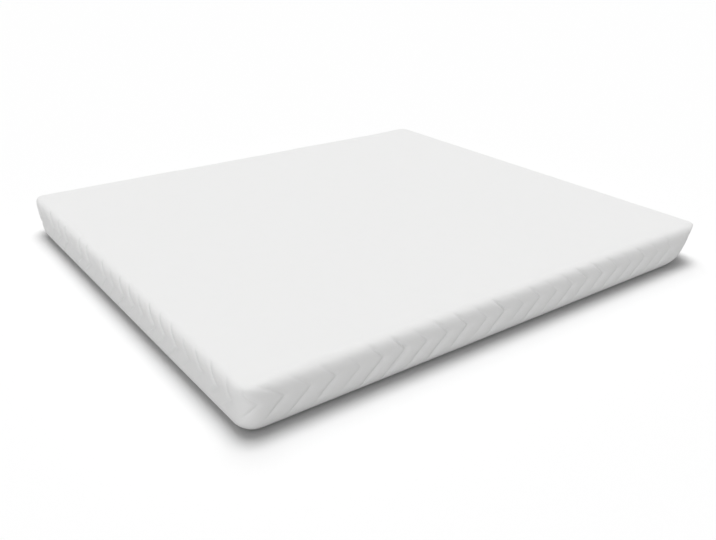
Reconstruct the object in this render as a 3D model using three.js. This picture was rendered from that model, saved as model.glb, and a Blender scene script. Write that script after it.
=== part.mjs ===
// Hybrid mattress for a 180 by 200 cm bed: one filled body in a closed knit cover.
// The top is smooth and slightly crowned, the side band swells a little between drawn-in
// edges and is quilted all the way round with nested chevrons, and the base is flat cloth.
// Millimetres, +Z up, X along the length. The origin is the middle of the base.

import * as THREE from 'three';

// Driving dimensions
const LENGTH = 2000;
const WIDTH = 1800;
const HEIGHT = 150;

// The body's soft form: the corners turn wide at the band, and tightly at the rim of the top
const CORNER_RADIUS = 120;
const RIM_CORNER_RADIUS = 15;
const RIM_EASING = 2.5;
const TOP_ROUND = 30;
const BASE_ROUND = 40;
const TOP_CROWN = 4;
const CROWN_REACH = 220;
const SIDE_SWELL = 4;

// One corner turns tighter at the band than the others
const NEAR_LEFT_CORNER_RADIUS = 60;

// How wide the corners turn where they meet the floor: they are drawn in unevenly
const NEAR_LEFT_BASE_CORNER = 45;
const NEAR_RIGHT_BASE_CORNER = 195;
const FAR_RIGHT_BASE_CORNER = 150;
const FAR_LEFT_BASE_CORNER = 180;

// How much wider the corners turn, per millimetre, from the rim of the top inwards
const TOP_CORNER_WIDENING = 0.5;

// The chevron quilting of the side band, whose tips point the same way all round
const QUILT_PITCH = 79.5;
const QUILT_DEPTH = 4.5;
const TIP_HEIGHT = 94;
const ARM_ANGLE = THREE.MathUtils.degToRad(40);
const FIRST_TIP = 14;
const CHANNEL_SHARPNESS = 1.5;

// The heights between which the channels deepen, from the base upwards
const CHANNEL_START = 5;
const CHANNEL_FULL = 70;

// How finely the skin is faceted
const COLUMNS_PER_CHEVRON = 4;
const ROUND_STEPS = 3;
const SIDE_STEPS = 2;
const CROWN_STEPS = 2;

// How much of a side's end its columns spread out over, towards the tighter corners of the rim
const SPREAD_RUN = 200;

// Colour and surface of the cover
const COVER_COLOUR = 0xf1f1f0;
const COVER_ROUGHNESS = 0.92;

// The outline's four sides, anticlockwise from the near one, each with the corner that ends it
const SIDES = [
  { quarterTurns: 0, corner: CORNER_RADIUS, baseCorner: NEAR_RIGHT_BASE_CORNER },
  { quarterTurns: 1, corner: CORNER_RADIUS, baseCorner: FAR_RIGHT_BASE_CORNER },
  { quarterTurns: 2, corner: CORNER_RADIUS, baseCorner: FAR_LEFT_BASE_CORNER },
  { quarterTurns: 3, corner: NEAR_LEFT_CORNER_RADIUS, baseCorner: NEAR_LEFT_BASE_CORNER },
];
const QUARTER_TURN = Math.PI / 2;
const HALF_CORNER = QUARTER_TURN / 2;
const ORIGIN = new THREE.Vector2();

// The rim of the top's soft edge, and the length of the widest outline
const RIM_HEIGHT = HEIGHT - TOP_CROWN;
const PERIMETER = 4 * (halfLength(LENGTH / 2, CORNER_RADIUS) + halfLength(WIDTH / 2, CORNER_RADIUS));

// A whole number of chevrons closes the ring
const CHEVRON_COUNT = Math.round(PERIMETER / QUILT_PITCH);
const COLUMN_COUNT = CHEVRON_COUNT * COLUMNS_PER_CHEVRON;
const COLUMN_PITCH = PERIMETER / COLUMN_COUNT;

/** The length of half a side, from its middle to the middle of a rounded corner. */
function halfLength(halfRun, radius) {
  return halfRun - radius + radius * HALF_CORNER;
}

/** Half the run of a side, or half the depth behind it when `across` is true. */
function halfSize(side, across) {
  const alongLength = side.quarterTurns % 2 === 0;
  return (alongLength !== across ? LENGTH : WIDTH) / 2;
}

/** The radii of the corner that ends a side, on one row: without and with the tighter rim. */
function cornerRadii(side, row) {
  const evenness = Math.min(row.z / TIP_HEIGHT, 1);
  const band = THREE.MathUtils.lerp(side.baseCorner, side.corner, evenness);
  const tightened = THREE.MathUtils.lerp(band, RIM_CORNER_RADIUS, row.rimShare);
  return { wide: band + row.widening, radius: tightened + row.widening };
}

/** Turns a point or direction from a side's own frame, along and outward, into the plan. */
function fromSide(side, along, outward) {
  return new THREE.Vector2(along, -outward).rotateAround(ORIGIN, side.quarterTurns * QUARTER_TURN);
}

/** The side on which a distance round the widest outline lies, and how far from its middle. */
function nearestSide(distance) {
  let fromMiddle = THREE.MathUtils.euclideanModulo(distance, PERIMETER);
  let index = 0;
  let half = halfLength(halfSize(SIDES[index], false), CORNER_RADIUS);
  while (fromMiddle > half) {
    index = (index + 1) % SIDES.length;
    const nextHalf = halfLength(halfSize(SIDES[index], false), CORNER_RADIUS);
    fromMiddle -= half + nextHalf;
    half = nextHalf;
  }
  return { index, fromMiddle, half };
}

/**
 * The place and outward direction, in plan, of the point on a row of the skin that lies
 * `distance` round the widest outline from the middle of the near side.
 */
function outlinePoint(distance, row) {
  const { index, fromMiddle, half } = nearestSide(distance);
  const side = SIDES[index];
  const ahead = fromMiddle < 0 ? -1 : 1;
  const sideBefore = SIDES[(index + SIDES.length - 1) % SIDES.length];
  const { wide, radius } = cornerRadii(ahead > 0 ? side : sideBefore, row);
  const halfRun = halfSize(side, false) - row.inset;
  const halfDepth = halfSize(side, true) - row.inset;
  const gone = (Math.abs(fromMiddle) / half) * halfLength(halfRun, wide);
  const run = Math.min(gone, halfRun - wide);
  const angle = (gone - run) / wide;
  // Where the rim is tighter, the last columns before the corner spread out to reach it
  const spread = Math.max(1 - (halfRun - wide - run) / SPREAD_RUN, 0);
  const straight = run + spread * (wide - radius);
  const outward = fromSide(side, ahead * Math.sin(angle), Math.cos(angle));
  const place = fromSide(side, ahead * straight, halfDepth - radius);
  return { place: place.addScaledVector(outward, radius), outward };
}

/** How far the side draws in at a height, from its widest line at the chevrons' tips. */
function swellInset(z) {
  return SIDE_SWELL * ((z - TIP_HEIGHT) / TIP_HEIGHT) ** 2;
}

/** How deep the channels are at a height, from 0 to 1: none where the edges turn over. */
function quiltStrength(z) {
  const aboveBase = THREE.MathUtils.smoothstep(z, CHANNEL_START, CHANNEL_FULL);
  const belowRim = 1 - THREE.MathUtils.smoothstep(z, RIM_HEIGHT - TOP_ROUND, RIM_HEIGHT);
  return aboveBase * belowRim;
}

/** One row of the side band, or of the soft edge above or below it. */
function bandRow(z, roundInset) {
  const aboveTips = (z - TIP_HEIGHT) / (RIM_HEIGHT - TIP_HEIGHT);
  const rimShare = Math.max(aboveTips, 0) ** RIM_EASING;
  const inset = roundInset + swellInset(z);
  return { z, inset, rimShare, widening: 0, quilt: quiltStrength(z) };
}

/** The rows of the skin, from the rim of the base up to the rim of the flat top middle. */
function skinRows() {
  const rows = [];
  for (let step = 0; step <= ROUND_STEPS; step += 1) {
    const angle = QUARTER_TURN * (1 - step / ROUND_STEPS);
    rows.push(bandRow(BASE_ROUND * (1 - Math.sin(angle)), BASE_ROUND * (1 - Math.cos(angle))));
  }
  for (let step = 1; step <= SIDE_STEPS; step += 1) {
    rows.push(bandRow(THREE.MathUtils.lerp(BASE_ROUND, TIP_HEIGHT, step / SIDE_STEPS), 0));
  }
  for (let step = 0; step <= ROUND_STEPS; step += 1) {
    const angle = QUARTER_TURN * (step / ROUND_STEPS);
    const drop = TOP_ROUND * (1 - Math.sin(angle));
    rows.push(bandRow(RIM_HEIGHT - drop, TOP_ROUND * (1 - Math.cos(angle))));
  }
  const rimInset = rows[rows.length - 1].inset;
  for (let step = 1; step <= CROWN_STEPS; step += 1) {
    const share = step / CROWN_STEPS;
    const inset = THREE.MathUtils.lerp(rimInset, CROWN_REACH, share);
    const z = HEIGHT - TOP_CROWN * (1 - share) ** 2;
    const widening = TOP_CORNER_WIDENING * (inset - rimInset);
    rows.push({ z, inset, rimShare: 1, widening, quilt: 0 });
  }
  return rows;
}

/** How far a channel lies behind its tip, round the outline, at a height. */
function channelSetback(z) {
  return Math.abs(Math.min(z, RIM_HEIGHT) - TIP_HEIGHT) / Math.tan(ARM_ANGLE);
}

/** How deep the quilting dips at a column: deepest in the channel, least on the puff between. */
function channelDip(column) {
  const phase = (column % COLUMNS_PER_CHEVRON) / COLUMNS_PER_CHEVRON;
  return QUILT_DEPTH * (1 - Math.sin(Math.PI * phase)) ** CHANNEL_SHARPNESS;
}

/** The points of one row of the skin, whose columns follow the chevrons. */
function rowPoints(row) {
  const points = [];
  const start = FIRST_TIP - channelSetback(row.z);
  for (let column = 0; column < COLUMN_COUNT; column += 1) {
    const { place, outward } = outlinePoint(start + column * COLUMN_PITCH, row);
    place.addScaledVector(outward, -channelDip(column) * row.quilt);
    points.push(place.x, place.y, row.z);
  }
  return points;
}

/** The filled body: a closed skin of rows and columns, a flat base and a flat top middle. */
function mattressGeometry() {
  const rows = skinRows();
  const positions = rows.flatMap(rowPoints);
  const baseMiddle = positions.length / 3;
  const topMiddle = baseMiddle + 1;
  positions.push(0, 0, 0, 0, 0, HEIGHT);

  const triangles = [];
  const lastRow = (rows.length - 1) * COLUMN_COUNT;
  for (let column = 0; column < COLUMN_COUNT; column += 1) {
    const next = (column + 1) % COLUMN_COUNT;
    for (let index = 0; index < rows.length - 1; index += 1) {
      const below = index * COLUMN_COUNT;
      const above = below + COLUMN_COUNT;
      // Each leaning four-sided face is split along its shorter diagonal
      if (rows[index + 1].z <= TIP_HEIGHT) {
        triangles.push(below + column, below + next, above + column);
        triangles.push(below + next, above + next, above + column);
      } else {
        triangles.push(below + column, below + next, above + next);
        triangles.push(below + column, above + next, above + column);
      }
    }
    triangles.push(baseMiddle, next, column);
    triangles.push(topMiddle, lastRow + column, lastRow + next);
  }

  const geometry = new THREE.BufferGeometry();
  geometry.setAttribute('position', new THREE.Float32BufferAttribute(positions, 3));
  geometry.setIndex(triangles);
  geometry.computeVertexNormals();
  return geometry;
}

const coverMaterial = new THREE.MeshStandardMaterial({
  name: 'cover',
  color: COVER_COLOUR,
  roughness: COVER_ROUGHNESS,
  metalness: 0,
});

const mattress = new THREE.Mesh(mattressGeometry(), coverMaterial);
mattress.name = 'mattress';

const part = new THREE.Group();
part.name = 'hybrid_mattress';
part.add(mattress);

export default part;
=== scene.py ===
import math
import random

import bmesh
import bpy
from mathutils import Matrix, Vector


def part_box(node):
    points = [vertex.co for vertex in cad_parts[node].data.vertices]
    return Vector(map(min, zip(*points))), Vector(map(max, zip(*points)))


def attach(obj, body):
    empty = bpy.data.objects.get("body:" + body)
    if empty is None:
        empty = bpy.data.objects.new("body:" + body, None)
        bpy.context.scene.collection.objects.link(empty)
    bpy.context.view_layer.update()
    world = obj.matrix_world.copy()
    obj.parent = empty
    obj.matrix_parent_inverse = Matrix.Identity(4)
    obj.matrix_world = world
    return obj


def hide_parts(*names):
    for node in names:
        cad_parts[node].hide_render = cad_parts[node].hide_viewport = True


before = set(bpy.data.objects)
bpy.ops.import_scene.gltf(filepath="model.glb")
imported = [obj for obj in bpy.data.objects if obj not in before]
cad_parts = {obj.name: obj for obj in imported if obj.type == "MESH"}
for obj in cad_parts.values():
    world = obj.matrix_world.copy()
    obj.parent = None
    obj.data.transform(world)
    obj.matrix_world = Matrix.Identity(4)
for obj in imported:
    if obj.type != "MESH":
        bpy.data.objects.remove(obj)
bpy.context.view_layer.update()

# Sizes of the body, in metres, from the frame
LOW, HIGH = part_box("mattress")
LENGTH = HIGH.x - LOW.x
WIDTH = HIGH.y - LOW.y
HEIGHT = HIGH.z - LOW.z

# The body's soft form: the corners turn wide at the border, and tightly at the rim of the top
CORNER_RADIUS = 0.120
NEAR_LEFT_CORNER_RADIUS = 0.060
RIM_CORNER_RADIUS = 0.015
RIM_EASING = 2.5
TOP_ROUND = 0.030
BASE_ROUND = 0.040
TOP_CROWN = 0.004
CROWN_REACH = 0.220
SIDE_SWELL = 0.004
TOP_CORNER_WIDENING = 0.5
RIM_HEIGHT = HEIGHT - TOP_CROWN

# How wide each corner turns where it meets the floor
NEAR_LEFT_BASE_CORNER = 0.045
NEAR_RIGHT_BASE_CORNER = 0.195
FAR_RIGHT_BASE_CORNER = 0.150
FAR_LEFT_BASE_CORNER = 0.180

# The chevron quilting of the border
QUILT_PITCH = 0.0795
TIP_HEIGHT = 0.094
ARM_ANGLE = math.radians(40)
FIRST_TIP = 0.014
CHANNEL_DEPTH = 0.0066
CHANNEL_REACH_AHEAD = 0.024
CHANNEL_REACH_BEHIND = 0.012
CHANNEL_SHARPNESS = 1.6
UPPER_ARM_SHARE = 0.8
DEPTH_SPREAD = 0.45
CHANNEL_SEED = 7

# The heights between which the channels start, from the base up, and how far they take to deepen
LOWEST_START = 0.018
HIGHEST_START = 0.045
DEEPENING_RUN = 0.028

# The chevrons that hardly show, counted from the middle of the near side
FAINT_CHEVRONS = (0, 2, 7, 9, 11, 61, 65, 68, 73, 77, 83, 85, 91)
FAINT_SHARE = 0.35

# The cloth run that puffs the cover up between its channels, and what is held still in it
CLOTH_FRAMES = 20
CLOTH_PRESSURE = 4
MOST_PUFF = 0.005
HELD_CHANNELS = 0.3
HELD_ABOVE = RIM_HEIGHT + 0.0008
HELD_BELOW = 0.001

# The quilting's stitches, and how far beside the cover they set out to find it
STITCH_LENGTH = 0.0036
STITCH_WIDTH = 0.0006
STITCH_THICKNESS = 0.0005
STITCH_PITCH = 0.0045
LOWER_STITCHES = 28
UPPER_STITCHES = 14
STITCH_OFFSET = 0.03

# How finely the cover is modelled before it is inflated
COLUMN_PLACES = (0, 0.05, 0.13, 0.27, 0.5, 0.73, 0.87, 0.95, 1)
COARSE_PLACES = (0, 0.5, 1)
BASE_ROUND_STEPS = 4
LOWER_ARM_STEPS = 5
UPPER_ARM_STEPS = 3
TOP_ROUND_STEPS = 4
CROWN_INSETS = (0.038, 0.055, 0.085, 0.125, 0.170, CROWN_REACH)
BASE_INSETS = (0.060, 0.120)

# How near points are that count as one, in a copy's place and round the sewn border
MERGE_DISTANCE = 0.0001
SEWING_MERGE_DISTANCE = 0.0005

# How much of a side's end its columns spread out over, towards the tighter corners of the rim
SPREAD_RUN = 0.200

# The outline's four sides, anticlockwise from the near one, with the corner that ends each
SIDES = (
    {"half_run": LENGTH / 2, "corner": CORNER_RADIUS, "base_corner": NEAR_RIGHT_BASE_CORNER},
    {"half_run": WIDTH / 2, "corner": CORNER_RADIUS, "base_corner": FAR_RIGHT_BASE_CORNER},
    {"half_run": LENGTH / 2, "corner": CORNER_RADIUS, "base_corner": FAR_LEFT_BASE_CORNER},
    {"half_run": WIDTH / 2, "corner": NEAR_LEFT_CORNER_RADIUS, "base_corner": NEAR_LEFT_BASE_CORNER},
)
QUARTER_TURN = math.pi / 2
PERIMETER = 2 * (LENGTH + WIDTH) - (8 - 2 * math.pi) * CORNER_RADIUS
CHEVRON_COUNT = round(PERIMETER / QUILT_PITCH)
CHEVRON_PITCH = PERIMETER / CHEVRON_COUNT

# Camera: where it stands, how it is turned, and its lens
CAMERA_PLACE = Vector((-1.728, -2.355, 1.218))
CAMERA_HEADING = math.radians(-36.63)
CAMERA_PITCH = math.radians(24.64)
CAMERA_ROLL = math.radians(0.50)
SENSOR_WIDTH_MM = 36.0
LENS_MM = 39.20

# Studio light: what it falls on, height, way round and spread in degrees, and strength
LIGHTS = {
    "high_behind": ("mattress", 60, 45, 60, 2.16),
    "left_front": ("mattress", 35, 225, 60, 0.59),
    "low_front": ("mattress", 10, 270, 60, 0.54),
    "low_left": ("mattress", 10, 180, 60, 0.86),
    "high_right": ("floor", 75, 45, 30, 1.19),
    "high_back": ("floor", 75, 90, 30, 0.71),
    "low_back": ("floor", 55, 60, 40, 0.84),
}
FILL_STRENGTH = 0.243
FLOOR_SIZE = 60

# Knit, thread and floor: how white they are, and what the floor throws back on to the mattress
COVER_WHITE = (0.832, 0.832, 0.829, 1)
COVER_SHADE = (0.822, 0.822, 0.819, 1)
THREAD_WHITE = (0.860, 0.860, 0.857, 1)
THREAD_SHADE = (0.840, 0.840, 0.837, 1)
FLOOR_WHITE = (0.95, 0.95, 0.95, 1)
FLOOR_BOUNCE = (0.57, 0.57, 0.57, 1)

# How matt the knit and the thread are
KNIT_ROUGHNESS = 0.92
THREAD_ROUGHNESS = 0.75
ROUGHNESS_SPREAD = 0.06
TEXTILE_SPECULAR = 0.2

# The fineness of their textures, in metres, and how much of a rib's relief its loops make
WALE_WIDTH = 0.0016
COURSE_HEIGHT = 0.0012
KNIT_RELIEF = 0.00012
LOOP_SHARE = 0.3
PLY_PITCH = 0.0007
PLY_RELIEF = 0.00006
MOTTLE_SIZE = 0.035
MOTTLE_DETAIL = 4

# How far up or down a face looks where a texture is laid on it as on the top
LEVEL_FACING = 0.7


def add_camera():
    data = bpy.data.cameras.new("camera")
    data.sensor_width = SENSOR_WIDTH_MM
    data.lens = LENS_MM
    camera = bpy.data.objects.new("camera", data)
    bpy.context.scene.collection.objects.link(camera)
    camera.matrix_world = (
        Matrix.Translation(CAMERA_PLACE)
        @ Matrix.Rotation(CAMERA_HEADING, 4, "Z")
        @ Matrix.Rotation(QUARTER_TURN - CAMERA_PITCH, 4, "X")
        @ Matrix.Rotation(CAMERA_ROLL, 4, "Z")
    )
    bpy.context.scene.camera = camera


add_camera()


# Helpers for modelling with operators


def activate(obj):
    bpy.ops.object.select_all(action="DESELECT")
    obj.select_set(True)
    bpy.context.view_layer.objects.active = obj


def apply_modifier(obj, modifier):
    activate(obj)
    bpy.ops.object.modifier_apply(modifier=modifier.name)


def smoothstep(value, start, end):
    share = min(max((value - start) / (end - start), 0), 1)
    return share * share * (3 - 2 * share)


def lerp(start, end, share):
    return start + (end - start) * share


# The cover's form


def swell_inset(z):
    """How far the side draws in at a height, from its widest line at the chevrons' tips."""
    return SIDE_SWELL * ((z - TIP_HEIGHT) / TIP_HEIGHT) ** 2


def band_row(z, round_inset):
    above_tips = (z - TIP_HEIGHT) / (RIM_HEIGHT - TIP_HEIGHT)
    rim_share = max(above_tips, 0) ** RIM_EASING
    return {"z": z, "inset": round_inset + swell_inset(z), "rim_share": rim_share, "widening": 0}


def border_rows():
    """The border's rows, from flat cloth under the base up to the soft rim of the top."""
    rows = [{"z": 0, "inset": BASE_INSETS[0], "rim_share": 0, "widening": 0}]
    for step in range(BASE_ROUND_STEPS + 1):
        angle = QUARTER_TURN * (1 - step / BASE_ROUND_STEPS)
        z = BASE_ROUND * (1 - math.sin(angle))
        rows.append(band_row(z, BASE_ROUND * (1 - math.cos(angle))))
    for step in range(1, LOWER_ARM_STEPS + 1):
        rows.append(band_row(lerp(BASE_ROUND, TIP_HEIGHT, step / LOWER_ARM_STEPS), 0))
    shoulder = RIM_HEIGHT - TOP_ROUND
    for step in range(1, UPPER_ARM_STEPS):
        rows.append(band_row(lerp(TIP_HEIGHT, shoulder, step / UPPER_ARM_STEPS), 0))
    for step in range(TOP_ROUND_STEPS + 1):
        angle = QUARTER_TURN * step / TOP_ROUND_STEPS
        z = shoulder + TOP_ROUND * math.sin(angle)
        rows.append(band_row(z, TOP_ROUND * (1 - math.cos(angle))))
    rows.append(crown_row(CROWN_INSETS[0]))
    rows.append(crown_row(CROWN_INSETS[1]))
    return rows


def crown_row(inset):
    rim_inset = TOP_ROUND + swell_inset(RIM_HEIGHT)
    share = (inset - rim_inset) / (CROWN_REACH - rim_inset)
    z = HEIGHT - TOP_CROWN * (1 - share) ** 2
    widening = TOP_CORNER_WIDENING * (inset - rim_inset)
    return {"z": z, "inset": inset, "rim_share": 1, "widening": widening}


def quilt_strength(z, start):
    """How deep the channels are at a height, from 0 to 1: none where the edges have turned over."""
    above_base = smoothstep(z, start, start + DEEPENING_RUN)
    below_rim = 1 - smoothstep(z, RIM_HEIGHT - TOP_ROUND / 2, RIM_HEIGHT)
    arm = lerp(1, UPPER_ARM_SHARE, smoothstep(z, TIP_HEIGHT, RIM_HEIGHT - TOP_ROUND))
    return above_base * below_rim * arm


def channel_dip(ahead):
    """How far the cover is drawn in, from 1 to 0, at a distance ahead of a channel or behind it."""
    reach = CHANNEL_REACH_AHEAD if ahead > 0 else CHANNEL_REACH_BEHIND
    return max(1 - abs(ahead) / reach, 0) ** CHANNEL_SHARPNESS


def channel_setback(z):
    """How far a channel lies behind its tip, round the outline, at a height."""
    return abs(min(z, RIM_HEIGHT) - TIP_HEIGHT) / math.tan(ARM_ANGLE)


def half_length(half_run, radius):
    """The length of half a side, from its middle to the middle of a rounded corner."""
    return half_run - radius + radius * QUARTER_TURN / 2


def corner_radii(side, row):
    """How wide the corner that ends a side turns on one row, without and with the tight rim."""
    border = lerp(side["base_corner"], side["corner"], min(row["z"] / TIP_HEIGHT, 1))
    tightened = lerp(border, RIM_CORNER_RADIUS, row["rim_share"])
    return border + row["widening"], tightened + row["widening"]


def nearest_side(distance):
    """The side at a distance round the outline, how far from its middle, and its half length."""
    from_middle = distance % PERIMETER
    index = 0
    half = half_length(SIDES[index]["half_run"], CORNER_RADIUS)
    while from_middle > half:
        index = (index + 1) % 4
        next_half = half_length(SIDES[index]["half_run"], CORNER_RADIUS)
        from_middle -= half + next_half
        half = next_half
    return index, from_middle, half


def outline_point(distance, row):
    """Place and outward direction, in plan, at a distance round the outline on one row."""
    index, from_middle, half = nearest_side(distance)
    side = SIDES[index]
    turned = Matrix.Rotation(index * QUARTER_TURN, 2)
    ahead = math.copysign(1, from_middle)
    wide, radius = corner_radii(side if ahead > 0 else SIDES[index - 1], row)
    half_run = side["half_run"] - row["inset"]
    half_depth = SIDES[index - 1]["half_run"] - row["inset"]
    gone = abs(from_middle) / half * half_length(half_run, wide)
    run = min(gone, half_run - wide)
    angle = (gone - run) / wide
    # Where the rim is tighter, the last columns before the corner spread out to reach it
    spread = max(1 - (half_run - wide - run) / SPREAD_RUN, 0)
    straight = run + spread * (wide - radius)
    outward = turned @ Vector((ahead * math.sin(angle), -math.cos(angle)))
    return turned @ Vector((ahead * straight, radius - half_depth)) + outward * radius, outward


# Modelling the cover


def add_chevron(rows):
    """One chevron of the border, flat: a grid whose columns lean along the two arms."""
    columns = len(COLUMN_PLACES) - 1
    last_row = len(rows) - 1
    bpy.ops.object.select_all(action="DESELECT")
    bpy.ops.mesh.primitive_grid_add(x_subdivisions=columns, y_subdivisions=last_row, size=1)
    chevron = bpy.context.object
    channels = chevron.vertex_groups.new(name="channels")
    spare = []
    for vertex in chevron.data.vertices:
        place = COLUMN_PLACES[round((vertex.co.x + 0.5) * columns)]
        index = round((vertex.co.y + 0.5) * last_row)
        row = rows[index]
        vertex.co = (place * CHEVRON_PITCH - channel_setback(row["z"]), index, 0)
        if place in (0, 1) and 0 < index < last_row - 1:
            channels.add([vertex.index], quilt_strength(row["z"], LOWEST_START), "REPLACE")
        if index in (0, last_row) and place not in COARSE_PLACES:
            spare.append(vertex.index)
    bpy.ops.object.mode_set(mode="EDIT")
    bpy.ops.mesh.select_mode(type="VERT")
    bpy.ops.mesh.select_all(action="DESELECT")
    mesh = bmesh.from_edit_mesh(chevron.data)
    mesh.verts.ensure_lookup_table()
    for index in spare:
        mesh.verts[index].select_set(True)
    bpy.ops.mesh.dissolve_verts()
    bpy.ops.object.mode_set(mode="OBJECT")
    return chevron


def repeat_chevron(chevron):
    array = chevron.modifiers.new("chevrons", "ARRAY")
    array.count = CHEVRON_COUNT
    array.use_relative_offset = False
    array.use_constant_offset = True
    array.constant_offset_displace = (CHEVRON_PITCH, 0, 0)
    array.use_merge_vertices = True
    array.merge_threshold = MERGE_DISTANCE
    apply_modifier(chevron, array)


def channel_weight(obj, vertex):
    channels = obj.vertex_groups["channels"].index
    return sum(group.weight for group in vertex.groups if group.group == channels)


def draw_channels():
    """The depth of every chevron's channels and the height at which they start, unevenly."""
    draw = random.Random(CHANNEL_SEED)
    depths = []
    for chevron in range(CHEVRON_COUNT):
        share = FAINT_SHARE if chevron in FAINT_CHEVRONS else 1
        depths.append(CHANNEL_DEPTH * share * (1 + draw.uniform(-DEPTH_SPREAD, DEPTH_SPREAD)))
    starts = [draw.uniform(LOWEST_START, HIGHEST_START) for chevron in range(CHEVRON_COUNT)]
    return depths, starts


def sew_round(border, rows):
    """Lays the flat border round the body's outline and pulls its channels in."""
    depths, starts = draw_channels()
    for vertex in border.data.vertices:
        row = rows[round(vertex.co.y)]
        place, outward = outline_point(FIRST_TIP + vertex.co.x, row)
        chevrons_on = (vertex.co.x + channel_setback(row["z"])) / CHEVRON_PITCH
        nearest = round(chevrons_on)
        chevron = nearest % CHEVRON_COUNT
        dip = channel_dip((chevrons_on - nearest) * CHEVRON_PITCH)
        place -= outward * dip * depths[chevron] * quilt_strength(row["z"], starts[chevron])
        vertex.co = (place.x, place.y, row["z"])
    activate(border)
    bpy.ops.object.mode_set(mode="EDIT")
    bpy.ops.mesh.select_all(action="SELECT")
    bpy.ops.mesh.remove_doubles(threshold=SEWING_MERGE_DISTANCE)
    bpy.ops.object.mode_set(mode="OBJECT")


def select_rim(obj, z):
    bpy.ops.mesh.select_mode(type="EDGE")
    bpy.ops.mesh.select_all(action="DESELECT")
    mesh = bmesh.from_edit_mesh(obj.data)
    for edge in mesh.edges:
        if edge.is_boundary and abs(edge.verts[0].co.z - z) < MERGE_DISTANCE:
            edge.select_set(True)
    bmesh.update_edit_mesh(obj.data)


def close_face(obj, rows):
    """Works inwards from an open rim, ring by ring, and fills the rest with a grid."""
    bpy.ops.object.mode_set(mode="EDIT")
    select_rim(obj, rows[0]["z"])
    for outer, inner in zip(rows, rows[1:]):
        rise = inner["z"] - outer["z"]
        bpy.ops.mesh.extrude_edges_move(TRANSFORM_OT_translate={"value": (0, 0, rise)})
        bpy.ops.transform.resize(
            value=(
                (LENGTH / 2 - inner["inset"]) / (LENGTH / 2 - outer["inset"]),
                (WIDTH / 2 - inner["inset"]) / (WIDTH / 2 - outer["inset"]),
                1,
            ),
            center_override=(0, 0, 0),
        )
    half_ring = CHEVRON_COUNT * (len(COARSE_PLACES) - 1) / 2
    bpy.ops.mesh.fill_grid(span=round(half_ring * LENGTH / (LENGTH + WIDTH)))
    bpy.ops.object.mode_set(mode="OBJECT")


def settle_order(obj):
    """Numbers edges and faces by their points, because extruding numbers them anew each run."""
    mesh = bmesh.from_edit_mesh(obj.data)
    mesh.verts.index_update()
    count = len(mesh.verts)

    def number(element):
        points = sorted(vertex.index for vertex in element.verts)
        return (points[0] * count + points[1]) * count + points[-1]

    mesh.edges.sort(key=number)
    mesh.faces.sort(key=number)
    bmesh.update_edit_mesh(obj.data)


def add_cover():
    rows = border_rows()
    cover = add_chevron(rows)
    cover.name = "quilted_cover"
    repeat_chevron(cover)
    sew_round(cover, rows)
    close_face(cover, [crown_row(inset) for inset in CROWN_INSETS[1:]])
    close_face(cover, [{"z": 0, "inset": inset} for inset in BASE_INSETS])
    bpy.ops.object.mode_set(mode="EDIT")
    bpy.ops.mesh.select_all(action="SELECT")
    bpy.ops.mesh.normals_make_consistent(inside=False)
    settle_order(cover)
    bpy.ops.object.mode_set(mode="OBJECT")
    return cover


def hold_cloth(cover):
    """The top, the base and the sewn channels stay where they are while the rest puffs up."""
    held = cover.vertex_groups.new(name="held")
    for vertex in cover.data.vertices:
        on_face = not HELD_BELOW <= vertex.co.z <= HELD_ABOVE
        if on_face or channel_weight(cover, vertex) > HELD_CHANNELS:
            held.add([vertex.index], 1, "REPLACE")


def inflate(cover):
    hold_cloth(cover)
    starts = [vertex.co.copy() for vertex in cover.data.vertices]
    cloth = cover.modifiers.new("puff", "CLOTH")
    cloth.settings.quality = 5
    cloth.settings.mass = 0.3
    cloth.settings.tension_stiffness = 25
    cloth.settings.compression_stiffness = 25
    cloth.settings.shear_stiffness = 10
    cloth.settings.bending_stiffness = 2
    cloth.settings.use_pressure = True
    cloth.settings.uniform_pressure_force = CLOTH_PRESSURE
    cloth.settings.effector_weights.gravity = 0
    cloth.settings.vertex_group_mass = "held"
    cloth.collision_settings.use_collision = False
    cloth.point_cache.frame_start = 1
    cloth.point_cache.frame_end = CLOTH_FRAMES
    for frame_number in range(1, CLOTH_FRAMES + 1):
        bpy.context.scene.frame_set(frame_number)
    apply_modifier(cover, cloth)
    bpy.context.scene.frame_set(1)
    for vertex, start in zip(cover.data.vertices, starts):
        move = vertex.co - start
        if move.length > MOST_PUFF:
            vertex.co = start + move * (MOST_PUFF / move.length)


def smooth_cover(cover):
    subdivision = cover.modifiers.new("smooth", "SUBSURF")
    subdivision.levels = 1
    subdivision.render_levels = 1
    apply_modifier(cover, subdivision)
    bpy.ops.object.shade_smooth()


# Modelling the thread


def add_arm_of_stitches(count, turn):
    """A row of stitches behind a chevron's tip, flat, turned to the way the arm leans."""
    bpy.ops.object.select_all(action="DESELECT")
    bpy.ops.mesh.primitive_ico_sphere_add(subdivisions=1, radius=0.5)
    arm = bpy.context.object
    bpy.ops.object.mode_set(mode="EDIT")
    bpy.ops.mesh.select_all(action="SELECT")
    bpy.ops.transform.resize(value=(STITCH_LENGTH, STITCH_WIDTH, STITCH_THICKNESS))
    bpy.ops.transform.translate(value=(-STITCH_PITCH / 2, 0, 0))
    bpy.ops.object.mode_set(mode="OBJECT")
    array = arm.modifiers.new("stitches", "ARRAY")
    array.count = count
    array.use_relative_offset = False
    array.use_constant_offset = True
    array.constant_offset_displace = (-STITCH_PITCH, 0, 0)
    apply_modifier(arm, array)
    bpy.ops.object.mode_set(mode="EDIT")
    bpy.ops.mesh.select_all(action="SELECT")
    bpy.ops.transform.rotate(value=-turn, orient_axis="Z", center_override=(0, 0, 0))
    bpy.ops.object.mode_set(mode="OBJECT")
    return arm


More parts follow.
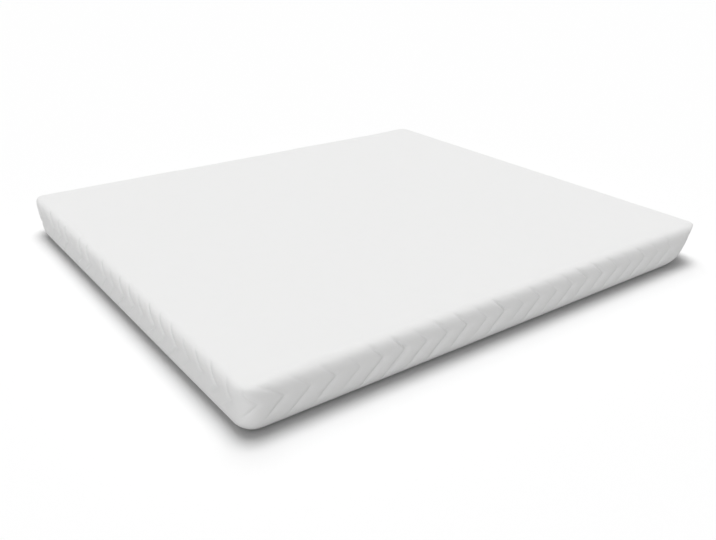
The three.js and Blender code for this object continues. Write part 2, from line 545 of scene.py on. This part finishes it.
def add_thread(cover):
    """The stitches of every chevron, laid in the channels of the finished cover."""
    thread = add_arm_of_stitches(LOWER_STITCHES, ARM_ANGLE)
    upper = add_arm_of_stitches(UPPER_STITCHES, -ARM_ANGLE)
    activate(thread)
    upper.select_set(True)
    bpy.ops.object.join()
    thread.name = "quilting_thread"
    repeat_chevron(thread)
    for vertex in thread.data.vertices:
        z = TIP_HEIGHT + vertex.co.y
        place, outward = outline_point(FIRST_TIP + vertex.co.x, band_row(z, 0))
        outward = outward.to_3d()
        beside = Vector((place.x, place.y, z)) + outward * STITCH_OFFSET
        surface = cover.ray_cast(beside, -outward)[1]
        vertex.co = surface + outward * vertex.co.z
    activate(thread)
    bpy.ops.object.shade_smooth()
    return thread


cover = add_cover()
inflate(cover)
smooth_cover(cover)
thread = add_thread(cover)

for piece in (cover, thread):
    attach(piece, "root")
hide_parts("mattress")


# Materials


# The kinds of the groups' sockets that aren't plain numbers
SOCKET_KINDS = {
    "Place": "NodeSocketVector",
    "Light": "NodeSocketColor",
    "Dark": "NodeSocketColor",
    "Color": "NodeSocketColor",
}


def add_group(name, inputs, outputs):
    """A node group with its sockets, given back with its input and output nodes."""
    group = bpy.data.node_groups.new(name, "ShaderNodeTree")
    for way, sockets in (("INPUT", inputs), ("OUTPUT", outputs)):
        for socket in sockets:
            kind = SOCKET_KINDS.get(socket, "NodeSocketFloat")
            group.interface.new_socket(socket, in_out=way, socket_type=kind)
    return group, group.nodes.new("NodeGroupInput"), group.nodes.new("NodeGroupOutput")


def feed(tree, socket, value):
    """Links a socket to another one, or sets it to a plain value."""
    if isinstance(value, bpy.types.NodeSocket):
        tree.links.new(value, socket)
    else:
        socket.default_value = value


def add_math(tree, operation, *values):
    node = tree.nodes.new("ShaderNodeMath")
    node.operation = operation
    for socket, value in zip(node.inputs, values):
        feed(tree, socket, value)
    return node.outputs["Value"]


def place_group(tree, group, **values):
    """Puts a group in a material, with its values named as its sockets are."""
    node = tree.nodes.new("ShaderNodeGroup")
    node.node_tree = group
    for name, value in values.items():
        feed(tree, node.inputs[name.replace("_", " ")], value)
    return node


def make_laid_on_face():
    """Object coordinates laid flat on each face: the top and base, the ends and the sides."""
    group, given, result = add_group("laid_on_face", ["Place"], ["Across", "Along"])
    place = group.nodes.new("ShaderNodeSeparateXYZ")
    feed(group, place.inputs["Vector"], given.outputs["Place"])
    geometry = group.nodes.new("ShaderNodeNewGeometry")
    facing = group.nodes.new("ShaderNodeSeparateXYZ")
    feed(group, facing.inputs["Vector"], geometry.outputs["Normal"])
    x, y, z = place.outputs
    endward = add_math(group, "ABSOLUTE", facing.outputs["X"])
    sideward = add_math(group, "ABSOLUTE", facing.outputs["Y"])
    levelward = add_math(group, "ABSOLUTE", facing.outputs["Z"])
    level = add_math(group, "GREATER_THAN", levelward, LEVEL_FACING)
    upright = add_math(group, "SUBTRACT", 1, level)
    end = add_math(group, "MULTIPLY", upright, add_math(group, "GREATER_THAN", endward, sideward))
    not_end = add_math(group, "SUBTRACT", 1, end)
    across = add_math(group, "MULTIPLY_ADD", y, end, add_math(group, "MULTIPLY", x, not_end))
    along = add_math(group, "MULTIPLY_ADD", z, upright, add_math(group, "MULTIPLY", y, level))
    feed(group, result.inputs["Across"], across)
    feed(group, result.inputs["Along"], along)
    return group


def make_plain_knit():
    """A fine plain knit: ribs of loops, each loop two strands that lean to its middle."""
    group, given, result = add_group(
        "plain_knit", ["Across", "Along", "Wale Width", "Course Height"], ["Height"]
    )
    wale = add_math(group, "DIVIDE", given.outputs["Across"], given.outputs["Wale Width"])
    course = add_math(group, "DIVIDE", given.outputs["Along"], given.outputs["Course Height"])
    across_rib = add_math(group, "FLOORED_MODULO", wale, 1)
    from_middle = add_math(group, "ABSOLUTE", add_math(group, "SUBTRACT", across_rib, 0.5))
    strand = add_math(group, "ADD", course, from_middle)
    loops = add_math(group, "SINE", add_math(group, "MULTIPLY", strand, 2 * math.pi))
    rib = add_math(group, "SINE", add_math(group, "MULTIPLY", across_rib, math.pi))
    share = add_math(group, "MULTIPLY_ADD", loops, LOOP_SHARE, 1 - LOOP_SHARE)
    height = add_math(group, "MULTIPLY", rib, share)
    feed(group, result.inputs["Height"], height)
    return group


def make_ply_twist():
    """The slanting plies of a twisted thread."""
    group, given, result = add_group("ply_twist", ["Across", "Along", "Pitch"], ["Height"])
    slant = add_math(group, "ADD", given.outputs["Across"], given.outputs["Along"])
    turns = add_math(group, "DIVIDE", slant, given.outputs["Pitch"])
    plies = add_math(group, "SINE", add_math(group, "MULTIPLY", turns, 2 * math.pi))
    feed(group, result.inputs["Height"], plies)
    return group


def make_mottling():
    """A faint cloudy change between two shades, and its mask."""
    group, given, result = add_group(
        "mottling", ["Place", "Size", "Light", "Dark"], ["Color", "Mask"]
    )
    clouds = group.nodes.new("ShaderNodeTexNoise")
    clouds.inputs["Detail"].default_value = MOTTLE_DETAIL
    feed(group, clouds.inputs["Vector"], given.outputs["Place"])
    feed(group, clouds.inputs["Scale"], add_math(group, "DIVIDE", 1, given.outputs["Size"]))
    shade = group.nodes.new("ShaderNodeMix")
    shade.data_type = "RGBA"
    feed(group, shade.inputs["Factor"], clouds.outputs["Fac"])
    feed(group, shade.inputs["A"], given.outputs["Light"])
    feed(group, shade.inputs["B"], given.outputs["Dark"])
    feed(group, result.inputs["Color"], shade.outputs["Result"])
    feed(group, result.inputs["Mask"], clouds.outputs["Fac"])
    return group


def start_material(name, roughness, specular):
    material = bpy.data.materials.new(name)
    material.use_nodes = True
    shader = material.node_tree.nodes["Principled BSDF"]
    shader.inputs["Roughness"].default_value = roughness
    shader.inputs["Specular IOR Level"].default_value = specular
    return material, material.node_tree, shader


def make_textile(name, roughness, light, dark, relief, add_relief):
    """A matt white textile: faint mottling, and a relief that add_relief draws on its faces."""
    material, tree, shader = start_material(name, roughness, TEXTILE_SPECULAR)
    coordinates = tree.nodes.new("ShaderNodeTexCoord")
    place = coordinates.outputs["Object"]
    clouds = place_group(tree, MOTTLING, Place=place, Size=MOTTLE_SIZE, Light=light, Dark=dark)
    feed(tree, shader.inputs["Base Color"], clouds.outputs["Color"])
    smoothest = roughness - ROUGHNESS_SPREAD / 2
    rough = add_math(tree, "MULTIPLY_ADD", clouds.outputs["Mask"], ROUGHNESS_SPREAD, smoothest)
    feed(tree, shader.inputs["Roughness"], rough)
    face = place_group(tree, LAID_ON_FACE, Place=place)
    bump = tree.nodes.new("ShaderNodeBump")
    bump.inputs["Distance"].default_value = relief
    feed(tree, bump.inputs["Height"], add_relief(tree, face))
    feed(tree, shader.inputs["Normal"], bump.outputs["Normal"])
    return material


def knit_relief(tree, face):
    knit = place_group(
        tree,
        PLAIN_KNIT,
        Across=face.outputs["Across"],
        Along=face.outputs["Along"],
        Wale_Width=WALE_WIDTH,
        Course_Height=COURSE_HEIGHT,
    )
    return knit.outputs["Height"]


def twist_relief(tree, face):
    twist = place_group(
        tree,
        PLY_TWIST,
        Across=face.outputs["Across"],
        Along=face.outputs["Along"],
        Pitch=PLY_PITCH,
    )
    return twist.outputs["Height"]


def wear(piece, material):
    piece.data.materials.clear()
    piece.data.materials.append(material)


MOTTLING = make_mottling()
LAID_ON_FACE = make_laid_on_face()
PLAIN_KNIT = make_plain_knit()
PLY_TWIST = make_ply_twist()

white_knit = make_textile(
    "white_knit", KNIT_ROUGHNESS, COVER_WHITE, COVER_SHADE, KNIT_RELIEF, knit_relief
)
wear(cover, white_knit)
white_thread = make_textile(
    "white_thread", THREAD_ROUGHNESS, THREAD_WHITE, THREAD_SHADE, PLY_RELIEF, twist_relief
)
wear(thread, white_thread)


# Studio


def add_floor():
    bpy.ops.object.select_all(action="DESELECT")
    bpy.ops.mesh.primitive_plane_add(size=FLOOR_SIZE)
    floor = bpy.context.object
    floor.name = "floor"
    material, tree, shader = start_material("plain_floor", 1, 0)
    path = tree.nodes.new("ShaderNodeLightPath")
    shade = tree.nodes.new("ShaderNodeMix")
    shade.data_type = "RGBA"
    feed(tree, shade.inputs["Factor"], path.outputs["Is Diffuse Ray"])
    feed(tree, shade.inputs["A"], FLOOR_WHITE)
    feed(tree, shade.inputs["B"], FLOOR_BOUNCE)
    feed(tree, shader.inputs["Base Color"], shade.outputs["Result"])
    wear(floor, material)
    return floor


def add_fill_light():
    """Even light from all round, which the camera sees as plain white."""
    world = bpy.data.worlds.new("studio")
    bpy.context.scene.world = world
    world.use_nodes = True
    tree = world.node_tree
    background = tree.nodes["Background"]
    background.inputs["Color"].default_value = (1, 1, 1, 1)
    path = tree.nodes.new("ShaderNodeLightPath")
    seen = path.outputs["Is Camera Ray"]
    strength = add_math(tree, "MULTIPLY_ADD", seen, 1 - FILL_STRENGTH, FILL_STRENGTH)
    feed(tree, background.inputs["Strength"], strength)


def add_lights(lit):
    for name, (thing, height, way_round, spread, strength) in LIGHTS.items():
        data = bpy.data.lights.new(name, "SUN")
        data.angle = math.radians(spread)
        data.energy = strength
        light = bpy.data.objects.new(name, data)
        bpy.context.scene.collection.objects.link(light)
        towards = Vector((1, 0, 0))
        towards.rotate(Matrix.Rotation(-math.radians(height), 3, "Y"))
        towards.rotate(Matrix.Rotation(math.radians(way_round), 3, "Z"))
        light.rotation_euler = towards.to_track_quat("Z", "Y").to_euler()
        light.light_linking.receiver_collection = lit[thing]


def group_lit(name, pieces):
    """A collection of what a light falls on."""
    lit = bpy.data.collections.new(name)
    for piece in pieces:
        lit.objects.link(piece)
    return lit


floor = add_floor()
add_fill_light()
add_lights({
    "mattress": group_lit("lit_mattress", [cover, thread]),
    "floor": group_lit("lit_floor", [floor]),
})
bpy.context.scene.view_settings.view_transform = "Standard"
